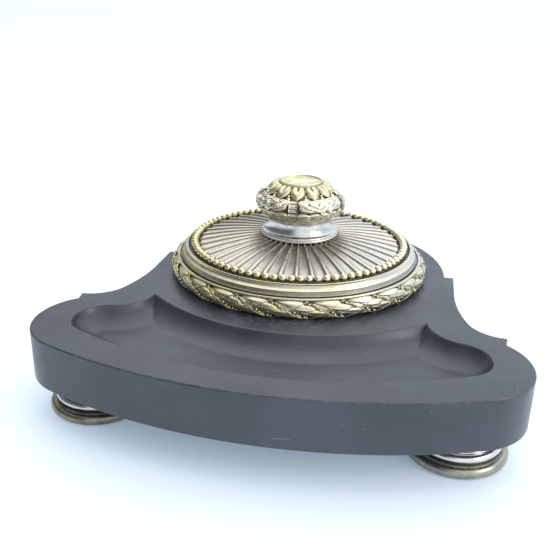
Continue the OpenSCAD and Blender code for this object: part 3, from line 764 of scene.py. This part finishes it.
# -------------------------------------------------------------------- the lid
def build_lid_rim():
    """Moulded rim: a thin foot edge, a fascia darkened with painted shade and patina, a broad hollow and a
    crisp top edge.
    """
    hollow_low, hollow_high = LID_Z + 2.75, RIM_Z - 0.4
    bend = np.linspace(0, 1, 14)
    cove = [(53.95 + 1.5 * t ** 2.2, hollow_high + (hollow_low - hollow_high) * t ** 0.8) for t in bend]
    profile = rounded([
        (47.0, LID_Z, 0.2), (56.55, LID_Z, 0.15), (56.6, LID_Z + 0.7, 0.2), (56.3, LID_Z + 0.95, 0.15),
        (55.95, LID_Z + 1.05, 0.1), (55.65, LID_Z + 2.2, 0.1), (55.85, LID_Z + 2.35, 0.08),
        (55.75, LID_Z + 2.62, 0.08)]
        + cove[::-1] + [
        (53.95, RIM_Z - 0.12, 0.12), (53.7, RIM_Z, 0.15), (53.3, RIM_Z - 0.04, 0.15),
        (53.05, RIM_Z - 0.4, 0.1), (52.9, BEAD_SEAT_Z, 0.2), (48.35, BEAD_SEAT_Z, 0.1),
        (48.35, PLATE_EDGE_Z - 2.1, 0.1), (47.0, PLATE_EDGE_Z - 2.1, 0.3)])
    verts, faces = turned(subdivided(profile, 0.4), 240)
    r = np.linalg.norm(verts[:, :2] - WELL, axis=1)
    z = verts[:, 2]
    # painted shade: the fascia is made dark as well as patinated; the channel under the beads is made
    # darker too
    fascia = (r > 55.4) & (z < LID_Z + 2.3)
    channel = (r < 53.1) & (z > BEAD_SEAT_Z - 0.3) & (z < RIM_Z - 0.3)
    make("lid_moulding", (verts, faces, 0.62 * fascia + 0.9 * channel), GILT, "lid", ["lid_rim"])


def build_beads():
    """Pearl moulding: round beads on a low wire, each very slightly different."""
    rng = random.Random(11)
    ring_r, bead_r = 50.2, 1.76
    wire = subdivided(np.array(arc((ring_r, BEAD_SEAT_Z + 0.35), 1.35, -20, 200, 12)
                               + [np.array([ring_r, BEAD_SEAT_Z - 0.1])]), 1.0)
    wire[:, 1] = np.minimum(wire[:, 1], BEAD_SEAT_Z + 0.75)
    parts = [(*turned(wire, 240), 0.9)]
    for i in range(BEAD_N):
        angle = (i + 0.5) * 360 / BEAD_N + rng.uniform(-0.12, 0.12)
        x, y = WELL + polar(ring_r + rng.uniform(-0.06, 0.06), angle)
        parts.append(ball((x, y, BEAD_SEAT_Z + bead_r), bead_r * rng.uniform(0.975, 1.0), 20, 12))
    make("pearl_moulding", joined(parts), GILT_LEAF, "lid", ["bead_ring"], sharp=60)


def build_plate():
    """Fluted plate: shallow channels between narrow ridges that widen outwards and end bluntly."""
    outer_r, collar_edge_r, thick = 48.3, 17.6, 2.1
    per_flute, rings = 20, 64
    around = FLUTE_N * per_flute
    r = collar_edge_r + (outer_r - collar_edge_r) * np.linspace(0, 1, rings) ** 0.9
    share = (r - collar_edge_r) / (outer_r - collar_edge_r)
    base = PLATE_Z + (PLATE_EDGE_Z - PLATE_Z) * share + 0.6 * np.sin(np.pi * share)
    turn = np.arange(around) / per_flute
    off = (np.abs((turn + 0.5) % 1.0 - 0.5) * 2)[None, :]      # 0 on a ridge, 1 mid-channel
    pitch = 2 * math.pi * r / FLUTE_N
    ridge = ((0.5 + 0.85 * share) / pitch)[:, None]            # its half width over half the pitch
    depth = (0.55 + share)[:, None]
    channel = np.clip((off - ridge) / (1 - ridge), 0, 1)
    bowl = 1 - (1 - channel) ** 3.0
    crown = 0.3 * np.clip(1 - (off / ridge) ** 2, 0, 1)
    edge_w = 1.6                                               # the rim turns down over this width
    drop = (np.clip((r - (outer_r - edge_w)) / edge_w, 0, 1) ** 2.2)[:, None]
    z = base[:, None] - depth * bowl + crown
    z = z * (1 - drop) + (BEAD_SEAT_Z + 0.15) * drop
    angles = turn * 360 / FLUTE_N - 90

    edge_under_z = PLATE_EDGE_Z - thick
    loops = [(BORE_R, PLATE_Z), *zip(r, z), (outer_r, edge_under_z), (outer_r - 2, edge_under_z),
             (collar_edge_r, PLATE_Z - thick), (BORE_R, PLATE_Z - thick)]
    loops = [round_well(radius, angles, height) for radius, height in loops]
    verts = np.concatenate(loops)
    # painted shade with patina: darker channels, most near the knob, a dark line along each ridge's foot
    # and a dark turned-down rim
    border = np.exp(-((channel - 0.12) / 0.1) ** 2)
    patina_and_shade = 0.36 * bowl + 0.8 * border + 0.8 * drop + 0.35 * (1 - share[:, None]) * bowl
    patina_and_shade = np.concatenate([np.zeros(around), patina_and_shade.reshape(-1), np.full(4 * around, 0.3)])
    faces = []
    for level in range(len(loops)):
        a, b = level * around, (level + 1) % len(loops) * around
        faces.extend((a + i, a + (i + 1) % around, b + (i + 1) % around, b + i) for i in range(around))
    make("fluted_plate", (verts, faces, patina_and_shade), PLATED, "lid", ["lid_plate"], sharp=48)


# ------------------------------------------------------------------- the knob
def build_collar():
    """Polished neck: a double-edged foot and a bell that narrows upwards."""
    z, top = COLLAR_Z, WREATH_Z
    curve = [(17.55 - 2.5 * math.sin(a), z + 2.2 + 6.0 * (1 - math.cos(a)))
             for a in np.radians(np.linspace(0, 84, 14))]
    profile = rounded([
        (BORE_R, z), (18.3, z, 0.15), (18.42, z + 0.75, 0.3), (18.0, z + 1.0, 0.2), (17.85, z + 1.15, 0.1),
        (18.05, z + 1.5, 0.25), (17.9, z + 1.95, 0.2)]
        + curve + [(15.15, top - 1.5), (15.6, top - 0.6), (16.2, top), (BORE_R, top)])
    make("knob_neck", turned(subdivided(profile, 0.6), 160), SILVER, "lid", ["knob_collar"])


def build_wreath():
    """Wreath: a fat band under crossing leaves, tied with ribbon on four sides."""
    rng = random.Random(5)
    height = CAP_Z - WREATH_Z
    centre = (16.2, WREATH_Z + height / 2)
    size = (3.3, height / 2 - 0.4)
    core = [(centre[0] + size[0] * math.cos(a), centre[1] + size[1] * math.sin(a))
            for a in np.radians(np.linspace(-90, 90, 24))]
    core += [(BORE_R, CAP_Z - 0.4), (BORE_R, WREATH_Z)]
    parts = [(*turned(subdivided(np.array(core), 0.8), 160), 0.9)]
    to_deg = math.degrees(1 / 20.0)          # lengths are measured along a circle of this radius
    spacing, leaf_w, berry_r = 14.5, 5.0, 0.85
    ribbon_w = np.degrees(2.25 / 20.5)       # half its width, in degrees

    def placing(start, section, way, lean, length, middle):
        def place(along, across, height):
            out = (length - along) * math.cos(lean) - across * math.sin(lean)
            up = (length / 2 - along) * math.sin(lean) + across * math.cos(lean)
            angle = middle + way * (start - 4 + out * to_deg)
            shingle = 0.75 * (1 - along / length)       # tips lie over the next leaf's base
            at = on_roll(centre, size, angle, section + np.degrees(up / 4.6), height + shingle - 0.1)
            at[..., 2] = np.clip(at[..., 2], WREATH_Z + 0.02, None)
            return at
        return place

    # degrees round the section, slant, degrees from the ribbon to the first leaf
    rows = ((72, 14, 9.0), (24, -24, 12.5), (-30, 20, 8.0), (-62, -10, 11.5))
    for quarter in range(4):
        middle = -90 + 90 * quarter
        for way in (1, -1):
            for section, slant, first in rows:
                for step in range(3):
                    start = first + spacing * step + rng.uniform(-1, 1)
                    length = rng.uniform(7.8, 8.8)
                    lean = math.radians(slant + rng.uniform(-8, 8))
                    place = placing(start, section, way, lean, length, middle)
                    parts.append(leaf(length, leaf_w, rng.uniform(0.8, 1.1), place, crease=0.5))
            for spot, section in ((18.0, 32), (20.5, 26), (38.0, -4), (40.5, 4)):
                at = on_roll(centre, size, middle + way * spot, section, 0.9)
                parts.append((*ball(at, berry_r, 12, 8), 0.0))
        # the ribbon: six ribs, thicker along both edges
        sections = np.linspace(-68, 66, 41)
        wave = np.abs(np.sin(np.linspace(0, 6 * math.pi, 41)))
        ribs = 1.45 + 0.35 * wave
        across = np.linspace(-1, 1, 11)
        edge = np.where(np.abs(across) > 0.65, 1.15, 1.0)
        angle, section = np.meshgrid(middle + ribbon_w * across, sections)
        lift = ribs[:, None] * edge[None, :]
        shut = np.zeros_like(lift, bool)
        shut[0] = shut[-1] = True
        shut[:, 0] = shut[:, -1] = True
        top = on_roll(centre, size, angle, section, np.where(shut, 0.3, lift))
        under = on_roll(centre, size, angle, section, np.where(shut, 0.3, -0.5))
        parts.append(grid_solid(top, under, 0.8 * (1 - wave)[:, None] ** 2 + 0.5 * shut))
    make("leaf_wreath", joined(parts), WREATH, "lid", ["knob_wreath"], sharp=50)


def build_cap():
    """Cap: two-lobed water leaves falling from the disc, berries between their tips, a wire rim."""
    inner_r, outer_r = 10.1, 15.6
    top_z, low_z = CAP_Z + 4.4, CAP_Z - 0.9
    reach, drop = outer_r - inner_r, top_z - low_z
    fall = 84                                # degrees of the dome's quarter ellipse

    def dome(angle, s, h):
        a = np.radians(90 - fall * s)
        r = inner_r + (reach + h) * np.cos(a)
        return round_well(r, angle, low_z + (drop + h) * np.sin(a))

    core = [(inner_r + (reach - 0.5) * math.cos(a), low_z + (drop - 0.5) * math.sin(a))
            for a in np.radians(np.linspace(6, 90, 16))]
    core += [(BORE_R, low_z + drop - 0.5), (BORE_R, low_z + 0.6)]
    parts = [(*turned(subdivided(np.array(core), 0.8), 140), 0.6)]
    s = np.linspace(0, 1, 26)[:, None]
    t = np.linspace(-1, 1, 19)[None, :]
    # half the leaf's width on the way down, widest above the middle, pointed at the tip
    half = np.interp(s, (0.0, 0.05, 0.15, 0.35, 0.55, 0.7, 0.82, 0.92, 1.0),
                     (0.0, 2.5, 2.9, 3.35, 3.4, 2.75, 1.85, 0.9, 0.0))
    lobe = np.exp(-((np.abs(t) - 0.5) / 0.5) ** 2)
    join = np.clip((s - 0.35) / 0.3, 0, 1)             # the lobes run together towards the tip
    crest = lobe * (1 - join) + (1 - np.abs(t) ** 2.2) * join
    rim = np.clip(1 - np.abs(t) ** 8, 0, 1) * np.clip(s / 0.08, 0, 1) ** 0.6 * np.clip((1 - s) / 0.05, 0, 1)
    groove = np.exp(-(t / 0.08) ** 2) * np.clip(1 - s / 0.55, 0, 1)
    up = (0.2 + 0.9 * crest) * rim - 0.6 * groove * rim
    border = (np.abs(t) == 1) | (s == 1) | (s == 0)
    up = np.where(border, 0.0, up)
    down = np.where(border, 0.0, -0.7)
    dark = np.clip(groove + 0.75 * (np.abs(t) > 0.93) + 0.25 * (1 - s), 0, 1)
    s_all, t_all, dark = np.broadcast_arrays(s, t, dark)
    radius = inner_r + reach * np.cos(np.radians(90 - fall * s_all))
    for k in range(CAP_LEAF_N):
        middle = -90 + (k + 0.12) * 360 / CAP_LEAF_N
        angle = middle + np.degrees(half * t_all / radius)
        parts.append(grid_solid(dome(angle, s_all, up), dome(angle, s_all, down), dark))
        between = np.array(middle + 180 / CAP_LEAF_N)
        for s_at, size in ((0.72, 0.6), (0.92, 1.15)):
            parts.append((*ball(dome(between, np.array(s_at), np.array(0.0)), size, 14, 9), 0.0))
    wire = [np.array([inner_r + 0.2, top_z + 0.3]) + polar(0.42, 30 * k) for k in range(12)]
    parts.append((*turned(np.array(wire), 120), 0.7))
    make("leaf_cap", joined(parts), CAP_LEAF, "lid", ["knob_leaf_cap"], sharp=50)


def build_star():
    """Gilt disc with a thin raised rim and a faceted five-pointed star."""
    face = STAR_TOP - 0.75
    profile = rounded([
        (0.0, STAR_Z - 0.25), (9.7, STAR_Z - 0.25, 0.1), (9.98, STAR_Z + 0.25, 0.2),
        (9.98, STAR_TOP - 0.25, 0.2), (9.6, STAR_TOP - 0.02, 0.2), (9.25, STAR_TOP - 0.2, 0.15),
        (9.1, face, 0.2),
        (0.0, face)])
    disc = turned(subdivided(profile, 0.8), 140)
    tip_r, notch_r, floor_z = 8.8, 3.5, face - 0.3
    verts = [(WELL[0], WELL[1], STAR_TOP - 0.02), (WELL[0], WELL[1], floor_z)]
    for i in range(10):
        x, y = WELL + polar(tip_r if i % 2 == 0 else notch_r, 90 + 36 * i)
        verts.append((x, y, face + (0.12 if i % 2 == 0 else -0.1)))
        verts.append((x, y, floor_z))
    faces = []
    for i in range(10):
        a, b = 2 + 2 * i, 2 + 2 * ((i + 1) % 10)
        faces.extend([(0, a, b), (1, b + 1, a + 1), (a, a + 1, b + 1, b)])
    make("star_boss", joined([disc, (np.array(verts), faces)]), STAR, "lid", ["star_disc"],
         sharp=5)


# ------------------------------------------------------ inside and under it all
def build_pot():
    """Glass pot with a thick base and a rolled drip edge."""
    z0, z1 = levels("ink_pot")
    profile = rounded([
        (0.0, z0 + 0.3), (27.0, z0 + 0.3, 0.3), (28.0, z0, 0.3), (31.2, z0, 1.0), (31.4, z1 - 3.2, 0.4),
        (32.1, z1 - 1.9, 0.8), (32.0, z1 - 0.2, 0.7), (30.6, z1, 0.6), (28.4, z1 - 0.8, 0.7),
        (28.4, z0 + 3.5, 2.6), (0.0, z0 + 3.6)], steps=5)
    make("glass_pot", turned(subdivided(profile, 1.2), 128), GLASS, "base", ["ink_pot"])


def build_pot_collar():
    """The flat ring round the pot's neck."""
    z0, z1 = levels("pot_collar")
    profile = rounded([
        (31.7, z0), (44.8, z0), (44.8, z1, 0.3), (42.2, z1, 0.3), (41.6, z1 - 0.4, 0.2),
        (33.2, z1 - 0.4, 0.3), (32.6, z1 - 0.15, 0.2), (31.7, z1 - 0.2, 0.2)])
    make("pot_surround", turned(subdivided(profile, 0.8), 160), GILT, "base", ["pot_collar"])


def coat(names, material):
    """Gives a finish to CAD nodes that stay as they are."""
    for name in names:
        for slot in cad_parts[name].material_slots:
            slot.material = material


def build_fixings():
    """Finishes for the screws, studs, plugs, hinge and pad, whose CAD shapes stay."""
    coat(["foot_screws", "ring_studs", "ring_washers", "ring_nuts", "hinge_screws", "leaf_screws",
          "knob_stud", "knob_washer", "knob_nut"], STEEL)
    coat(["foot_inserts", "hinge_inserts"], INSERT)
    coat(["hinge_plate", "hinge_leaf", "hinge_pin"], GILT)
    coat(["pot_pad"], CORK)


# ------------------------------------------------------------------- the stage
def area_light(name, place, target, size, power, colour):
    """A soft rectangular lamp aimed at a point, in metres and watts."""
    light = bpy.data.lights.new(name, "AREA")
    light.shape = "RECTANGLE"
    light.size, light.size_y = size
    light.energy = power
    light.color = colour
    lamp = bpy.data.objects.new(name, light)
    lamp.location = place
    lamp.rotation_euler = (Vector(target) - Vector(place)).to_track_quat("-Z", "Y").to_euler()
    bpy.context.scene.collection.objects.link(lamp)


def leaning(sky, toward, low, high):
    """How far a direction of the sky leans toward the given one, from 0 to 1."""
    dot = sky.add("ShaderNodeVectorMath", operation="DOT_PRODUCT")
    sky.feed(dot.inputs[0], sky.aim)
    dot.inputs[1].default_value = Vector(toward).normalized()
    return sky.spread(dot.outputs["Value"], low, high)


def build_stage():
    """White table that glows faintly blue as painted fill light in its shadows, and soft daylight from
    above, behind and the right.
    """
    half = 12.0                                                 # metres
    mesh = bpy.data.meshes.new("table")
    mesh.from_pydata([(-half, -half, 0), (half, -half, 0), (half, half, 0), (-half, half, 0)], [],
                     [(0, 1, 2, 3)])
    table = bpy.data.objects.new("table", mesh)
    bpy.context.scene.collection.objects.link(table)
    # painted light: a faint blue glow on the table lifts its shadows and turns them bluish
    s = Surface("table_painted_blue_glow", Specular_IOR_Level=0.2, Emission_Color=(0.52, 0.76, 1.0, 1.0),
                Emission_Strength=0.25)
    s.feed(s.shader.inputs["Base Color"],
           s.mix(s.spread(s.noise(120), 0.3, 0.7), (0.90, 0.91, 0.93), (0.92, 0.93, 0.95)))
    s.feed(s.shader.inputs["Roughness"], s.spread(s.noise(40), 0.3, 0.7, 0.5, 0.65))
    mesh.materials.append(s.material)

    world = bpy.data.worlds.new("daylight")
    bpy.context.scene.world = world
    world.use_nodes = True
    sky = Steps(world.node_tree)
    sky.aim = sky.add("ShaderNodeTexCoord").outputs["Generated"]
    ray = sky.add("ShaderNodeLightPath")
    overhead = leaning(sky, (0.3, 0.42, 0.85), 0.0, 0.85)
    window = leaning(sky, (0.5, -0.8, 0.28), 0.6, 0.97)
    colour = sky.mix(overhead, (0.17, 0.177, 0.185), (1.18, 1.29, 1.45))
    colour = sky.mix(window, colour, (1.15, 1.16, 1.15))
    colour = sky.mix(ray.outputs["Is Diffuse Ray"], colour, (0.84, 0.93, 1.03))
    colour = sky.mix(ray.outputs["Is Camera Ray"], colour, (1.0, 1.0, 1.0))
    sky.feed(sky.tree.nodes["Background"].inputs["Color"], colour)

    area_light("sky_panel", (0.1, 0.5, 1.4), (0, 0, 0.03), (2.2, 1.6), 7.0, (1.0, 0.98, 0.94))
    area_light("right_window", (0.9, -0.35, 0.5), (0, 0, 0.04), (0.5, 0.5), 3.0, (1.0, 0.98, 0.95))


def build_camera():
    """The camera of the picture: a slightly long lens, a little to the right and above."""
    turn, dip, roll = 0.1973, 0.3896, 0.0224              # radians
    place = (0.049903, -0.300705, 0.168530)
    ahead = Vector((-math.sin(turn) * math.cos(dip), math.cos(turn) * math.cos(dip), -math.sin(dip)))
    right = ahead.cross(Vector((0, 0, 1))).normalized()
    up = right.cross(ahead)
    across = right * math.cos(roll) + up * math.sin(roll)
    upward = up * math.cos(roll) - right * math.sin(roll)
    camera = bpy.data.objects.new("camera", bpy.data.cameras.new("camera"))
    camera.matrix_world = Matrix((
        (across.x, upward.x, -ahead.x, place[0]),
        (across.y, upward.y, -ahead.y, place[1]),
        (across.z, upward.z, -ahead.z, place[2]),
        (0, 0, 0, 1)))
    camera.data.sensor_width = 36.0
    camera.data.lens = 46.95
    camera.data.clip_start, camera.data.clip_end = 0.01, 60.0
    bpy.context.scene.collection.objects.link(camera)
    bpy.context.scene.camera = camera
    bpy.context.scene.view_settings.view_transform = "Standard"


build_slab()
build_feet()
build_mount()
build_garland()
build_lid_rim()
build_beads()
build_plate()
build_collar()
build_wreath()
build_cap()
build_star()
build_pot()
build_pot_collar()
build_fixings()
build_stage()
build_camera()
